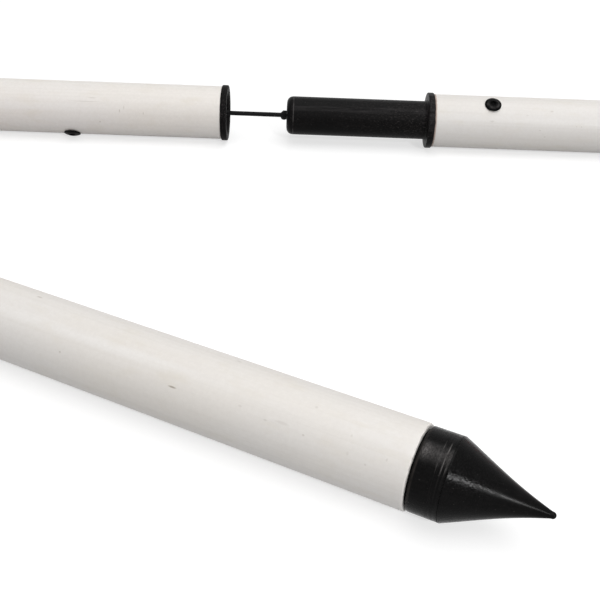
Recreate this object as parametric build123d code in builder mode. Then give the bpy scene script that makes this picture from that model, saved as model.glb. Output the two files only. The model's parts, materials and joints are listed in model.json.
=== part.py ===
from build123d import *
import os
from math import asin, atan2, cos, degrees, hypot, radians, sin, tan

# Collapsible range pole: three tubes on one shock cord, laid on a table in a Z.
# +X runs along the middle tube towards the pole's top, +Y away from the viewer, +Z up.
# The origin is the bottom centre of the laid-out pole. All lengths are in millimetres.

# Lengths that each section adds to the standing pole
LOWER_SECTION = 470.0
MIDDLE_SECTION = 375.0
UPPER_SECTION = 375.0

# Tube
TUBE_R = 25.4 / 2
TUBE_BORE_R = 22.2 / 2
TUBE_EDGE = 0.4

# Flanges, plugs and sockets
FLANGE_R = 13.35
FLANGE_T = 3.0
FLANGE_EDGE = 0.6
SHANK_R = TUBE_BORE_R - 0.05
SHANK_EDGE = 1.0
PLUG_R = 9.2
PLUG_LENGTH = 68.4
PLUG_NOSE = 3.0
PLUG_ROOT = 1.5
PLUG_SHANK = 45.0
SOCKET_R = PLUG_R + 0.08
SOCKET_DEPTH = 73.0
SOCKET_LENGTH = 95.0
SOCKET_RIM = 2.0
CORD_HOLE_R = 1.3

# Pointed tip and top cap
TIP_R = 12.3
TIP_COLLAR = 9.9
TIP_LENGTH = 38.05
TIP_EDGE = 0.5
TIP_SPIGOT = 40.0
CONE_HALF_ANGLE = 23.0
NIB_R = 0.85
NIB_ROUND = 0.75
NIB_ROOT = 2.0
CAP_HEAD = 6.0
CAP_EDGE = 1.5
CAP_SPIGOT = 25.0

# Low button-head screws
SCREW_R = 4.1 / 2
SCREW_LENGTH = 9.5
SCREW_SEAT = TUBE_R + 0.02
SCREW_TAP_R = 2.1
SCREW_CLEAR_R = 2.3
HEAD_R = 7.92 / 2
HEAD_HEIGHT = 1.4
HEAD_RIM = 0.45
HEX_ACROSS = 2.5
HEX_DEPTH = 0.9
SOCKET_SCREW_AT = 73.0
PLUG_SCREW_AT = 27.6

# Where the screws point, as degrees above the level of the axis on the viewer's side
SCREW_UP = 64.0
SCREW_DOWN = -50.0

# Shock cord and what holds its ends
CORD_R = 0.9
CORD_GAP = 0.3
BEAD_R = 2.15
BEAD_OUT = 1.1
BEAD_SEAT_R = 2.03
BEAD_SEAT_DEPTH = 0.8
WASHER_R = 6.0
WASHER_HOLE_R = 1.6
WASHER_T = 1.2
FERRULE_R = 2.5
FERRULE_LENGTH = 9.0
FERRULE_GRIP = 0.03
CORD_STUB = 4.0

# Vinyl bands
BAND_LENGTH = 100.0
BAND_T = 0.3

# How the pole lies
JOINT_GAP = 28.8
LAY_ANGLE = 25.0
BUNDLE_PITCH = 30.0

# Sizes that follow from those above
LOWER_TUBE = LOWER_SECTION - TIP_LENGTH - FLANGE_T
MIDDLE_TUBE = MIDDLE_SECTION - 2 * FLANGE_T
UPPER_TUBE = UPPER_SECTION - FLANGE_T - CAP_HEAD
CONE_END = TIP_COLLAR + (TIP_R - NIB_R) / tan(radians(CONE_HALF_ANGLE))
NIB_FLAT = NIB_R - NIB_ROUND
AXIS_HEIGHT = FLANGE_R

# The folded cord leaves its hole at the bottom of the socket, leans on the rounded rim of the
# mouth and crosses to the ball stop. Both angles grow in step with the fold.
RIM_ACROSS = SOCKET_R + SOCKET_RIM
RIM_ALONG = SOCKET_DEPTH - SOCKET_RIM
WRAP_R = SOCKET_RIM + CORD_R + CORD_GAP
LEAN_FOLDED = atan2(RIM_ACROSS, RIM_ALONG) - asin(WRAP_R / hypot(RIM_ACROSS, RIM_ALONG))
LEAN_LENGTH = (RIM_ALONG + WRAP_R) / cos(LEAN_FOLDED)
LINK_LENGTH = BUNDLE_PITCH - LEAN_LENGTH * sin(LEAN_FOLDED)
FOLD_SHARE = (180.0 - LAY_ANGLE) / 180.0
LEAN_ANGLE = LEAN_FOLDED * FOLD_SHARE
LINK_ANGLE = radians(90.0) * FOLD_SHARE
LOWER_ANGLE = radians(LAY_ANGLE)

# The ball stop of the folded joint, outwards from the lower mouth and towards the viewer
BEAD_ALONG = LEAN_LENGTH * cos(LEAN_ANGLE) + LINK_LENGTH * cos(LINK_ANGLE) - SOCKET_DEPTH
BEAD_ACROSS = LEAN_LENGTH * sin(LEAN_ANGLE) + LINK_LENGTH * sin(LINK_ANGLE)

# Place of the upper mouth that centres the laid-out pole on the origin
POINT_REACH = BEAD_OUT + PLUG_LENGTH + LOWER_SECTION
NEAR_EDGE = (BEAD_ACROSS + (POINT_REACH - NIB_ROUND) * sin(LOWER_ANGLE)
             + NIB_FLAT * cos(LOWER_ANGLE) + NIB_ROUND)
MOUTH_X = (BEAD_ALONG + BEAD_R + MIDDLE_SECTION - JOINT_GAP - PLUG_LENGTH - UPPER_SECTION) / 2
MIDDLE_Y = (NEAR_EDGE - FLANGE_R) / 2

# Directions and points
TO_TOP = Vector(1, 0, 0)
TO_BOTTOM = Vector(-1, 0, 0)
TO_POINT = Vector(cos(LOWER_ANGLE), -sin(LOWER_ANGLE), 0)
UPPER_MOUTH = Vector(MOUTH_X, MIDDLE_Y, AXIS_HEIGHT)
LOWER_MOUTH = UPPER_MOUTH + TO_BOTTOM * MIDDLE_SECTION
UPPER_PLUG_FACE = UPPER_MOUTH + TO_TOP * JOINT_GAP
UPPER_BEAD = UPPER_PLUG_FACE - TO_TOP * BEAD_OUT
UPPER_HOLE = UPPER_MOUTH + TO_BOTTOM * SOCKET_DEPTH
LOWER_HOLE = LOWER_MOUTH + TO_TOP * SOCKET_DEPTH
TO_RIM = Vector(-cos(LEAN_ANGLE), -sin(LEAN_ANGLE), 0)
TO_BEAD = Vector(-cos(LINK_ANGLE), -sin(LINK_ANGLE), 0)
KNUCKLE = LOWER_HOLE + TO_RIM * LEAN_LENGTH
LOWER_BEAD = KNUCKLE + TO_BEAD * LINK_LENGTH
LOWER_PLUG_FACE = LOWER_BEAD + TO_POINT * BEAD_OUT

os.makedirs("parts", exist_ok=True)


def save(piece, name):
    """Label a finished piece and write it under its node's name."""
    piece.part.label = name
    export_step(piece.part, f"parts/{name}.step")


def profile_plane(start, along):
    """Plane through a level axis: local x runs along the axis, local y points up."""
    return Plane(origin=start, x_dir=along, z_dir=along.cross(Vector(0, 0, 1)))


def turn(plane, corners):
    """Revolve a closed outline of (along, radius, rounding) corners about the plane's x axis."""
    with BuildSketch(plane) as outline:
        with BuildLine():
            FilletPolyline(
                [(along, radius) for along, radius, _ in corners],
                radius=[rounding for _, _, rounding in corners],
                close=True,
            )
        make_face()
    revolve(outline.sketch, axis=Axis(plane.origin, plane.x_dir))


def screw_plane(start, along, station, elevation):
    """Plane on the axis at a screw's station, facing the way the screw points."""
    viewer_side = Vector(0, 0, 1).cross(along)
    if viewer_side.Y > 0:
        viewer_side = viewer_side * -1
    outwards = viewer_side * cos(radians(elevation)) + Vector(0, 0, 1) * sin(radians(elevation))
    return Plane(origin=start + along * station, x_dir=along, z_dir=outwards)


def drill(plane, radius, inner, outer):
    """Cut a radial hole between two distances from the axis."""
    with BuildSketch(plane.offset(inner)) as hole:
        Circle(radius)
    extrude(hole.sketch, amount=outer - inner, mode=Mode.SUBTRACT)


def rod(start, end, radius):
    """Add a straight round rod between two points."""
    with BuildSketch(Plane(origin=start, z_dir=end - start)) as section:
        Circle(radius)
    extrude(section.sketch, amount=(end - start).length)


def make_tube(name, start, along, length, screws):
    with BuildPart() as tube:
        turn(profile_plane(start, along), [
            (0, TUBE_BORE_R, 0),
            (0, TUBE_R, TUBE_EDGE),
            (length, TUBE_R, TUBE_EDGE),
            (length, TUBE_BORE_R, 0),
        ])
        for plane in screws:
            drill(plane, SCREW_CLEAR_R, 0, TUBE_R + 1)
    save(tube, name)


def make_band(name, start, along, tube_length):
    margin = (tube_length - BAND_LENGTH) / 2
    with BuildPart() as band:
        turn(profile_plane(start, along), [
            (margin, TUBE_R, 0),
            (margin, TUBE_R + BAND_T, 0),
            (margin + BAND_LENGTH, TUBE_R + BAND_T, 0),
            (margin + BAND_LENGTH, TUBE_R, 0),
        ])
    save(band, name)


def make_socket(name, mouth, inwards, screw):
    with BuildPart() as socket:
        turn(profile_plane(mouth, inwards), [
            (0, SOCKET_R, SOCKET_RIM),
            (0, FLANGE_R, FLANGE_EDGE),
            (FLANGE_T, FLANGE_R, FLANGE_EDGE),
            (FLANGE_T, SHANK_R, 0),
            (SOCKET_LENGTH, SHANK_R, SHANK_EDGE),
            (SOCKET_LENGTH, CORD_HOLE_R, 0),
            (SOCKET_DEPTH, CORD_HOLE_R, 0),
            (SOCKET_DEPTH, SOCKET_R, SHANK_EDGE),
        ])
        drill(screw, SCREW_TAP_R, SCREW_SEAT - SCREW_LENGTH - CORD_GAP, TUBE_R)
    save(socket, name)


def make_plug(name, face, inwards, screw):
    flange = PLUG_LENGTH + FLANGE_T
    with BuildPart() as plug:
        turn(profile_plane(face, inwards), [
            (BEAD_SEAT_DEPTH, CORD_HOLE_R, 0),
            (0, BEAD_SEAT_R, 0),
            (0, PLUG_R, PLUG_NOSE),
            (PLUG_LENGTH, PLUG_R, PLUG_ROOT),
            (PLUG_LENGTH, FLANGE_R, FLANGE_EDGE),
            (flange, FLANGE_R, FLANGE_EDGE),
            (flange, SHANK_R, 0),
            (flange + PLUG_SHANK, SHANK_R, SHANK_EDGE),
            (flange + PLUG_SHANK, CORD_HOLE_R, 0),
        ])
        drill(screw, SCREW_TAP_R, SCREW_SEAT - SCREW_LENGTH - CORD_GAP, TUBE_R)
    save(plug, name)


def make_screw(name, plane):
    dome = (HEAD_R**2 + (HEAD_HEIGHT - HEAD_RIM) ** 2) / (2 * (HEAD_HEIGHT - HEAD_RIM))
    crown = SCREW_SEAT + HEAD_HEIGHT
    side_plane = Plane(origin=plane.origin, x_dir=plane.z_dir, z_dir=plane.y_dir)
    with BuildPart() as screw:
        with BuildSketch(side_plane) as half_head:
            with BuildLine():
                Polyline((crown, 0), (SCREW_SEAT, 0), (SCREW_SEAT, HEAD_R), (SCREW_SEAT + HEAD_RIM, HEAD_R))
                RadiusArc((SCREW_SEAT + HEAD_RIM, HEAD_R), (crown, 0), dome)
            make_face()
        revolve(half_head.sketch, axis=Axis(plane.origin, plane.z_dir))
        with BuildSketch(plane.offset(SCREW_SEAT)) as shank:
            Circle(SCREW_R)
        extrude(shank.sketch, amount=-SCREW_LENGTH)
        with BuildSketch(plane.offset(crown)) as hexagon:
            RegularPolygon(HEX_ACROSS / 2, 6, major_radius=False)
        extrude(hexagon.sketch, amount=-HEX_DEPTH, mode=Mode.SUBTRACT)
    save(screw, name)


def make_bead(name, centre):
    with BuildPart() as bead:
        with Locations(centre):
            Sphere(BEAD_R)
    save(bead, name)


def make_cord_end(prefix, face, inwards):
    """Cord through a plug, with the washer and the crimped ferrule behind the plug's shank."""
    back = PLUG_LENGTH + FLANGE_T + PLUG_SHANK
    ferrule_at = back + WASHER_T
    cord_start = BEAD_R - BEAD_OUT + CORD_GAP
    with BuildPart() as tail:
        rod(face + inwards * cord_start, face + inwards * (ferrule_at + FERRULE_LENGTH + CORD_STUB), CORD_R)
    save(tail, f"{prefix}_cord_tail")
    with BuildPart() as washer:
        turn(profile_plane(face, inwards), [
            (back, WASHER_HOLE_R, 0),
            (back, WASHER_R, 0),
            (ferrule_at, WASHER_R, 0),
            (ferrule_at, WASHER_HOLE_R, 0),
        ])
    save(washer, f"{prefix}_cord_washer")
    with BuildPart() as ferrule:
        turn(profile_plane(face, inwards), [
            (ferrule_at, CORD_R + FERRULE_GRIP, 0),
            (ferrule_at, FERRULE_R, FERRULE_R / 5),
            (ferrule_at + FERRULE_LENGTH, FERRULE_R, FERRULE_R / 5),
            (ferrule_at + FERRULE_LENGTH, CORD_R + FERRULE_GRIP, 0),
        ])
    save(ferrule, f"{prefix}_cord_ferrule")


# Middle section: a tube with a socket in each end
middle_start = LOWER_MOUTH + TO_TOP * FLANGE_T
lower_socket_screw = screw_plane(middle_start, TO_TOP, SOCKET_SCREW_AT, SCREW_UP)
upper_socket_screw = screw_plane(middle_start, TO_TOP, MIDDLE_TUBE - SOCKET_SCREW_AT, SCREW_DOWN)
make_tube("middle_tube", middle_start, TO_TOP, MIDDLE_TUBE, [lower_socket_screw, upper_socket_screw])
make_band("middle_band", middle_start, TO_TOP, MIDDLE_TUBE)
make_socket("lower_socket", LOWER_MOUTH, TO_TOP, lower_socket_screw)
make_socket("upper_socket", UPPER_MOUTH, TO_BOTTOM, upper_socket_screw)
make_screw("lower_socket_screw", lower_socket_screw)
make_screw("upper_socket_screw", upper_socket_screw)

# Upper section: plug below, cap on top
upper_start = UPPER_PLUG_FACE + TO_TOP * (PLUG_LENGTH + FLANGE_T)
upper_plug_screw = screw_plane(upper_start, TO_TOP, PLUG_SCREW_AT, SCREW_UP)
make_tube("upper_tube", upper_start, TO_TOP, UPPER_TUBE, [upper_plug_screw])
make_band("upper_band", upper_start, TO_TOP, UPPER_TUBE)
make_plug("upper_plug", UPPER_PLUG_FACE, TO_TOP, upper_plug_screw)
make_screw("upper_plug_screw", upper_plug_screw)
make_cord_end("upper", UPPER_PLUG_FACE, TO_TOP)
make_bead("upper_cord_bead", UPPER_BEAD)
with BuildPart() as top_cap:
    turn(profile_plane(upper_start + TO_TOP * UPPER_TUBE, TO_TOP), [
        (-CAP_SPIGOT, 0, 0),
        (-CAP_SPIGOT, SHANK_R, SHANK_EDGE),
        (0, SHANK_R, 0),
        (0, TUBE_R, TUBE_EDGE),
        (CAP_HEAD, TUBE_R, CAP_EDGE),
        (CAP_HEAD, 0, 0),
    ])
save(top_cap, "top_cap")

# Lower section: plug above, point below
lower_start = LOWER_PLUG_FACE + TO_POINT * (PLUG_LENGTH + FLANGE_T)
lower_plug_screw = screw_plane(lower_start, TO_POINT, PLUG_SCREW_AT, SCREW_UP)
make_tube("lower_tube", lower_start, TO_POINT, LOWER_TUBE, [lower_plug_screw])
make_band("lower_band", lower_start, TO_POINT, LOWER_TUBE)
make_plug("lower_plug", LOWER_PLUG_FACE, TO_POINT, lower_plug_screw)
make_screw("lower_plug_screw", lower_plug_screw)
make_cord_end("lower", LOWER_PLUG_FACE, TO_POINT)
make_bead("lower_cord_bead", LOWER_BEAD)
with BuildPart() as point_tip:
    turn(profile_plane(lower_start + TO_POINT * LOWER_TUBE, TO_POINT), [
        (-TIP_SPIGOT, 0, 0),
        (-TIP_SPIGOT, SHANK_R, SHANK_EDGE),
        (0, SHANK_R, 0),
        (0, TIP_R, TUBE_EDGE),
        (TIP_COLLAR, TIP_R, TIP_EDGE),
        (CONE_END, NIB_R, NIB_ROOT),
        (TIP_LENGTH, NIB_R, NIB_ROUND),
        (TIP_LENGTH, 0, 0),
    ])
save(point_tip, "point_tip")

# Shock cord: straight through the middle tube and the open upper joint, over the rim of the
# lower mouth to the folded lower section
with BuildPart() as cord_core:
    rod(LOWER_HOLE, UPPER_HOLE, CORD_R)
save(cord_core, "cord_core")
with BuildPart() as upper_cord_stretch:
    rod(UPPER_HOLE, UPPER_BEAD - TO_TOP * (BEAD_R + CORD_GAP), CORD_R)
save(upper_cord_stretch, "upper_cord_stretch")
with BuildPart() as lower_cord_lean:
    rod(LOWER_HOLE + TO_RIM * CORD_GAP, KNUCKLE, CORD_R)
    with Locations(KNUCKLE):
        Sphere(CORD_R)
save(lower_cord_lean, "lower_cord_lean")
with BuildPart() as lower_cord_link:
    rod(KNUCKLE + TO_BEAD * (CORD_R + CORD_GAP), LOWER_BEAD - TO_BEAD * (BEAD_R + CORD_GAP), CORD_R)
save(lower_cord_link, "lower_cord_link")

# Joint axes pass through these points
for label, point in [
    ("upper mouth", UPPER_MOUTH),
    ("upper bead", UPPER_BEAD),
    ("lower cord hole", LOWER_HOLE),
    ("knuckle", KNUCKLE),
    ("lower bead", LOWER_BEAD),
    ("lower tube start", lower_start),
    ("point", LOWER_PLUG_FACE + TO_POINT * (PLUG_LENGTH + LOWER_SECTION)),
    ("upper tube start", upper_start),
    ("top", UPPER_PLUG_FACE + TO_TOP * (PLUG_LENGTH + UPPER_SECTION)),
]:
    print(f"{label}: {point.X:.4f}, {point.Y:.4f}, {point.Z:.4f}")
print(f"lean {degrees(LEAN_ANGLE):.4f} of {degrees(LEAN_FOLDED):.4f}, link {degrees(LINK_ANGLE):.4f} degrees")
print(f"lean {LEAN_LENGTH:.3f}, link {LINK_LENGTH:.3f} mm")
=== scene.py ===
import json
from math import cos, pi, radians, sin, sqrt, tan

import bmesh
import bpy
from mathutils import Matrix, Vector, noise


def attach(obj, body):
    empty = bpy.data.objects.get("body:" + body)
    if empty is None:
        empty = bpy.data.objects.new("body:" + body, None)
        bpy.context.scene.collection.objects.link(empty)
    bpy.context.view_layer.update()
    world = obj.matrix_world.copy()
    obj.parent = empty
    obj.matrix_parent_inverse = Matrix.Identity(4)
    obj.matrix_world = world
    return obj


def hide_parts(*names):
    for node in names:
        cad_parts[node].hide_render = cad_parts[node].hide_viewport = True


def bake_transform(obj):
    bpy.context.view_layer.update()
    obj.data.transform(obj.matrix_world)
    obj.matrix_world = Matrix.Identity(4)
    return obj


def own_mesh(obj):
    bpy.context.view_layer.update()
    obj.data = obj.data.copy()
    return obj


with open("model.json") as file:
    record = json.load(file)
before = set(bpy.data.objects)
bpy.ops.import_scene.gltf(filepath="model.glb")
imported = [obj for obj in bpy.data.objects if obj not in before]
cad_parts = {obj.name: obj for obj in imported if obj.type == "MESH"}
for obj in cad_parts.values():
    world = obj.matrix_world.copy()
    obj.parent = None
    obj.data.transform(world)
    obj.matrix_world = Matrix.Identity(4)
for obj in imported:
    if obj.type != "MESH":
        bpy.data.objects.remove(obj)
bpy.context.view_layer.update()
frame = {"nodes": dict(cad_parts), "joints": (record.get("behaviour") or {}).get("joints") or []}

# Collapsible range pole, laid on a pale floor with its upper joint pulled open and its pointed
# lower section folded back towards the viewer. Outlines are in millimetres, the scene in metres.
MM = 0.001

# Tubes: the wall, the chips at the cut ends, which follow a fractal noise, and the bare resin where
# the paint stops at a plug
TUBE_R = 12.7
TUBE_BORE_R = 11.1
TUBE_LIP = 0.4
TUBE_FRAY = 0.32
CHIP_ROUND = 3.0
CHIP_SCALE = 1.7
CHIP_FALL = 1.0
CHIP_FINER = 2.0
CHIP_OCTAVES = 4
CHIP_LEVEL = 0.05
BARE_END = 0.6
BARE_MARGIN = 0.1
BARE_FADE = 0.3

# Bands: the film, the degrees of its flap, how far the flap stands out, how far the film lifts here
# and there, and how far its ends waver
BAND_T = 0.3
BAND_FLAP = 14.0
BAND_LAP = 0.10
BAND_LIFT = 0.03
BAND_WAVER = 0.10
BAND_STEPS = 40

# Marks in the paint: station from the tube's start, degrees above the level of its axis on the
# viewer's side, half length, half width, strength
PAINT_MARKS = {
    "lower_tube": [
        (356.0, 35.4, 1.7, 0.35, 0.65),
        (316.0, 28.3, 0.5, 0.4, 0.28),
        (298.3, 100.0, 1.3, 0.5, 0.35),
        (391.5, 39.7, 2.6, 0.60, 0.14),
        (386.5, 36.1, 0.8, 0.35, 0.16),
        (398.4, 34.5, 0.5, 0.35, 0.24),
        (378.0, 42.0, 0.8, 0.40, 0.14),
        (399.0, 73.5, 0.6, 0.5, 0.14),
        (411.4, 53.8, 0.4, 0.5, 0.13),
        (411.8, 31.9, 0.5, 0.7, 0.13),
        (422.6, 40.4, 0.35, 0.6, 0.16),
        (417.3, 26.1, 0.45, 0.4, 0.17),
    ],
    "middle_tube": [
        (320.9, 18.8, 0.35, 1.0, 0.30),
        (323.0, 26.2, 0.30, 1.2, 0.24),
        (332.3, 15.4, 0.30, 0.8, 0.26),
        (311.2, -7.3, 0.5, 0.5, 0.28),
        (304.4, 36.4, 9.0, 0.25, 0.20),
        (307.6, 44.7, 2.4, 0.30, 0.22),
    ],
    "upper_tube": [
        (55.7, 52.7, 1.0, 0.6, 0.15),
        (50.4, 10.1, 0.6, 0.4, 0.20),
        (67.6, 20.9, 0.4, 0.35, 0.20),
        (70.0, 20.9, 0.4, 0.35, 0.22),
        (53.2, -4.3, 0.5, 0.4, 0.22),
    ],
}

# Scattered specks of grime in the paint: scale along each axis, random grey values between which a
# speck fades in, strength
PAINT_SPECKS = [
    ((70, 150, 150), (0.84, 0.86), 0.26),
    ((90, 420, 420), (0.93, 0.95), 0.34),
    ((260, 260, 260), (0.90, 0.92), 0.20),
]
PAINT_SPECK_SIZE = (0.02, 0.09)

# How much lighter or darker each tube's paint is made: painted light that makes up for the light it gets
PAINTED_LIGHT_TONE = {"lower_tube": 1.0, "middle_tube": 1.06, "upper_tube": 0.98}

# Degrees above the level of each tube's axis where a painted highlight runs along its paint as a paler
# line. The line fades out towards the tube's ends.
HIGHLIGHT_LINE = {"lower_tube": 58.0, "middle_tube": 22.0, "upper_tube": 27.0}
HIGHLIGHT_FADE = (35.0, 90.0)

# Flanged sockets and plugs
FLANGE_R = 13.35
FLANGE_T = 3.0
FLANGE_EDGE = 0.5
SHANK_R = 11.05
SHANK_EDGE = 1.0
PLUG_R = 9.2
PLUG_LENGTH = 68.4
PLUG_NOSE = 2.9
PLUG_ROOT = 1.4
SOCKET_R = 9.28
SOCKET_DEPTH = 73.0
SOCKET_RIM = 2.0
CORD_HOLE_R = 1.3
HOLE_MOUTH_R = 2.03
HOLE_MOUTH_DEPTH = 0.8
HOLE_MOUTH_EDGE = 0.2

# Fine crest behind the plug's nose, which is slimmer than the plug
CREST_START = PLUG_NOSE + 0.25
CREST_RISE = 0.12
CREST_LENGTH = 0.35
CREST_HEIGHT = 0.03
CREST_EDGE = 0.05
NOSE_R = PLUG_R - 0.05

# Marks on the plug: where the painted highlight round the crest behind its nose lies, where its scuffs
# begin, and the degrees above the level of its axis where a painted highlight runs along it
PLUG_CREST_HIGHLIGHT_STATION = 3.3
PLUG_SCUFF_START = 22.0
PLUG_HIGHLIGHT_UP = 47.0

# Pointed tip. Its grooves are given by station and depth.
TIP_R = 12.28
TIP_COLLAR = 9.9
TIP_UNDERCUT = 0.75
TIP_EDGE = 0.45
TIP_GROOVES = [(7.0, 0.01), (8.2, 0.01), (9.6, 0.25)]
GROOVE_HALF_WIDTH = 0.12
GROOVE_HALF_FLOOR = 0.09
CONE_LENGTH = 26.95
CONE_HOLLOW = 0.6
CONE_HOLLOW_SKEW = 1.3
CONE_STEPS = 20
NIB_R = 0.98
NIB_ROUND = 0.93
NIB_ROOT = 3.0

# Marks and painted highlights of the tip. The painted highlight patch on the collar lies so many
# degrees above the level of its axis. Each pair holds the stations between which something sets in or
# fades.
COLLAR_HIGHLIGHT_UP = 69.0
COLLAR_MARKED_START = (0.9, 2.0)
COLLAR_MARKED_END = (9.3, 9.8)
COLLAR_HIGHLIGHT_FADE = (2.2, 4.2)
COLLAR_TOOLED_START = (5.8, 6.6)
COLLAR_EDGE_STATION = TIP_UNDERCUT + 0.4
CONE_PITS_FADE = (16.0, 24.0)
CONE_SATIN_START = (16.0, 22.0)

# Top cap. It and the tip stand off their tubes over an undercut.
CAP_HEAD = 6.0
CAP_EDGE = 1.5
CAP_UNDERCUT = 0.5
CAP_DISH = 0.6
CAP_DISH_R = 7.5
CAP_DISH_FLOOR_R = 6.5
CAP_DISH_EDGE = 0.8
UNDERCUT_ROOT = 0.2
UNDERCUT_EDGE = 0.3

# Low button-head screws. Each points so many degrees above the level of its tube's axis, on the
# viewer's side. Heights are from the tube's axis.
SCREW_UP = 64.0
SCREW_DOWN = -50.0
SCREW_SEAT = TUBE_R + 0.02
HEAD_R = 3.96
HEAD_HEIGHT = 1.4
HEAD_RIM = 0.45
HEAD_CROWN = SCREW_SEAT + HEAD_HEIGHT
RIM_EDGE = 0.12
RIM_DRAFT = 0.02
DOME_RINGS = 8
DOME_FOOT_R = HEAD_R - 0.05
DOME_STEP = (HEAD_R - 1.75) / DOME_RINGS
SCREW_R = 2.05
SCREW_LENGTH = 9.5
SCREW_END = 0.5
SCREW_END_R = SCREW_R * 0.8
HEX_ACROSS = 2.5
HEX_DEPTH = 0.9
HEX_LIP = 0.22
HEX_LIP_DEPTH = 0.10
HEX_DRILL = 0.5

# Shock cord. It turns over the rim of the folded joint within a short reach on both sides.
CORD_R = 1.10
BRAID_STRANDS = 8
BRAID_PITCH = 5.2
BRAID_RELIEF = 0.07
RIM_TURN = 4.0

# Knots in the cord, and the ball of strands inside each that narrows to the cord
KNOT_R = 2.4
KNOT_CORD_R = CORD_R * 0.93
KNOT_HALF_LENGTH = 0.85
KNOT_NECK = 1.75
NECK_R = KNOT_R * 0.94
NECK_SWEEP = 62.0
NECK_CUFF = KNOT_NECK + 0.2
NECK_CUFF_R = CORD_R * 0.98
NECK_END = KNOT_NECK + 0.7
NECK_END_R = CORD_R * 0.9
NECK_STRANDS = 5
NECK_TWIST = 2.5
NECK_RELIEF = 0.07

# Floor and light, in metres and watts
FILL = 0.29
KEY_HEIGHT = 1.6
KEY_PLACE = (0.20, -0.05, KEY_HEIGHT)
KEY_TARGET = (0.0, 0.0, 0.0)
KEY_SIZE = (2.0, 1.2)
KEY_POWER = 17.5
GLINT_PLACE = (0.520, -0.970, 0.727)
GLINT_TARGET = (0.05, -0.13, 0.01)
GLINT_SIZE = (0.13, 0.13)
GLINT_POWER = 5.6
FLOOR_HALF = 8.0
FLOOR_GREY = 0.50
FLOOR_LIT = 0.38

# Camera: the focal length in pixels of the photograph, the angles in degrees, the eye in metres and
# the sensor in millimetres
IMAGE_WIDTH = 600
FOCAL_LENGTH = 913.5
YAW = -0.144
PITCH = 34.323
ROLL = 2.069
EYE = (-0.004894, -0.300654, 0.191928)
SENSOR_WIDTH = 36.0
CLIP_START = 0.01

# Mesh fineness. HOLD is how far the soft shading of an edge reaches along a straight run. Edges that
# turn by more degrees than the sharp angle stay crisp.
ROUND_SEGMENTS = 144
ARC_STEPS = 7
HOLD = 1.0
ON_AXIS = 1e-6
SCREW_SIDES = 48
CORD_SIDES = 32
CORD_STEP = 0.3
ROUTE_STEPS = 40
KNOT_STEPS = 160
KNOT_SIDES = 20
NECK_STEPS = 8
NECK_SEGMENTS = 48
SHARP_TURNED = 35.0
SHARP_SCREW = 30.0
SHARP_CORD = 60.0


# Places in the frame

JOINTS = {joint["name"]: joint for joint in frame["joints"]}


def joint_point(name):
    return Vector(JOINTS[name]["pos_m"])


class Line:
    """A straight axis in the frame. Stations along it are in millimetres from its origin."""

    def __init__(self, origin, along):
        self.origin = Vector(origin)
        self.along = Vector(along).normalized()
        self.up = Vector((0, 0, 1))
        self.side = self.up.cross(self.along)

    def matrix(self):
        """Places a piece whose own x runs along the line and whose own z points up."""
        turn = Matrix((self.along, self.side, self.up)).transposed().to_4x4()
        return Matrix.Translation(self.origin) @ turn

    def span(self, node):
        """First and last station of a CAD node."""
        vertices = frame["nodes"][node].data.vertices
        stations = [(v.co - self.origin).dot(self.along) / MM for v in vertices]
        return min(stations), max(stations)

    def point(self, station):
        return self.origin + self.along * station * MM

    def from_station(self, station):
        return Line(self.point(station), self.along)

    def reversed_at(self, station):
        return Line(self.point(station), -self.along)

    def outwards(self, elevation):
        """Direction square to the line, so many degrees above its level on the viewer's side."""
        return self.up * sin(radians(elevation)) - self.side * cos(radians(elevation))


UPPER_LINE = Line(joint_point("upper_twist"), JOINTS["upper_twist"]["axis"])
LOWER_LINE = Line(joint_point("lower_twist"), JOINTS["lower_twist"]["axis"])


# Mesh building

def rounded(corners):
    """Closed outline of (station, radius, rounding) corners, with arcs in place of rounded corners."""
    points = []
    for i, (station, radius, rounding) in enumerate(corners):
        here = Vector((station, radius))
        if rounding == 0:
            points.append(here)
            continue
        to_before = (Vector(corners[i - 1][:2]) - here).normalized()
        to_after = (Vector(corners[(i + 1) % len(corners)][:2]) - here).normalized()
        half = to_before.angle(to_after) / 2
        centre = here + (to_before + to_after).normalized() * rounding / sin(half)
        spoke = here + to_before * rounding / tan(half) - centre
        end = here + to_after * rounding / tan(half) - centre
        swing = spoke.angle_signed(end)
        for step in range(ARC_STEPS + 1):
            turned = spoke.copy()
            turned.rotate(Matrix.Rotation(-swing * step / ARC_STEPS, 2))
            points.append(centre + turned)
    return points


def held(outline):
    """Adds a point near both ends of each long straight run, so that the soft shading of an edge
    stays there and doesn't spread along the run."""
    points = []
    for here, after in zip(outline, outline[1:] + outline[:1]):
        here, after = Vector(here), Vector(after)
        points.append(here)
        run = (after - here).length
        if run > 4 * HOLD:
            points += [here.lerp(after, HOLD / run), after.lerp(here, HOLD / run)]
    return points


def stitch(bm, ring, after):
    """Faces between two rings of equally many vertices. A ring may be one vertex, repeated."""
    for k in range(len(ring)):
        corners = (ring[k], ring[k - 1], after[k - 1], after[k])
        distinct = list(dict.fromkeys(corners))
        if len(distinct) > 2:
            bm.faces.new(distinct)


def finish_mesh(name, bm, place, sharp_angle):
    """Turns a bmesh in millimetres into an object of the scene, smooth with crisp edges."""
    bmesh.ops.recalc_face_normals(bm, faces=bm.faces)
    bmesh.ops.scale(bm, vec=(MM, MM, MM), verts=bm.verts)
    mesh = bpy.data.meshes.new(name)
    bm.to_mesh(mesh)
    bm.free()
    mesh.shade_smooth()
    mesh.set_sharp_from_angle(angle=radians(sharp_angle))
    piece = bpy.data.objects.new(name, mesh)
    piece.matrix_world = place
    bpy.context.scene.collection.objects.link(piece)
    return piece


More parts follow.
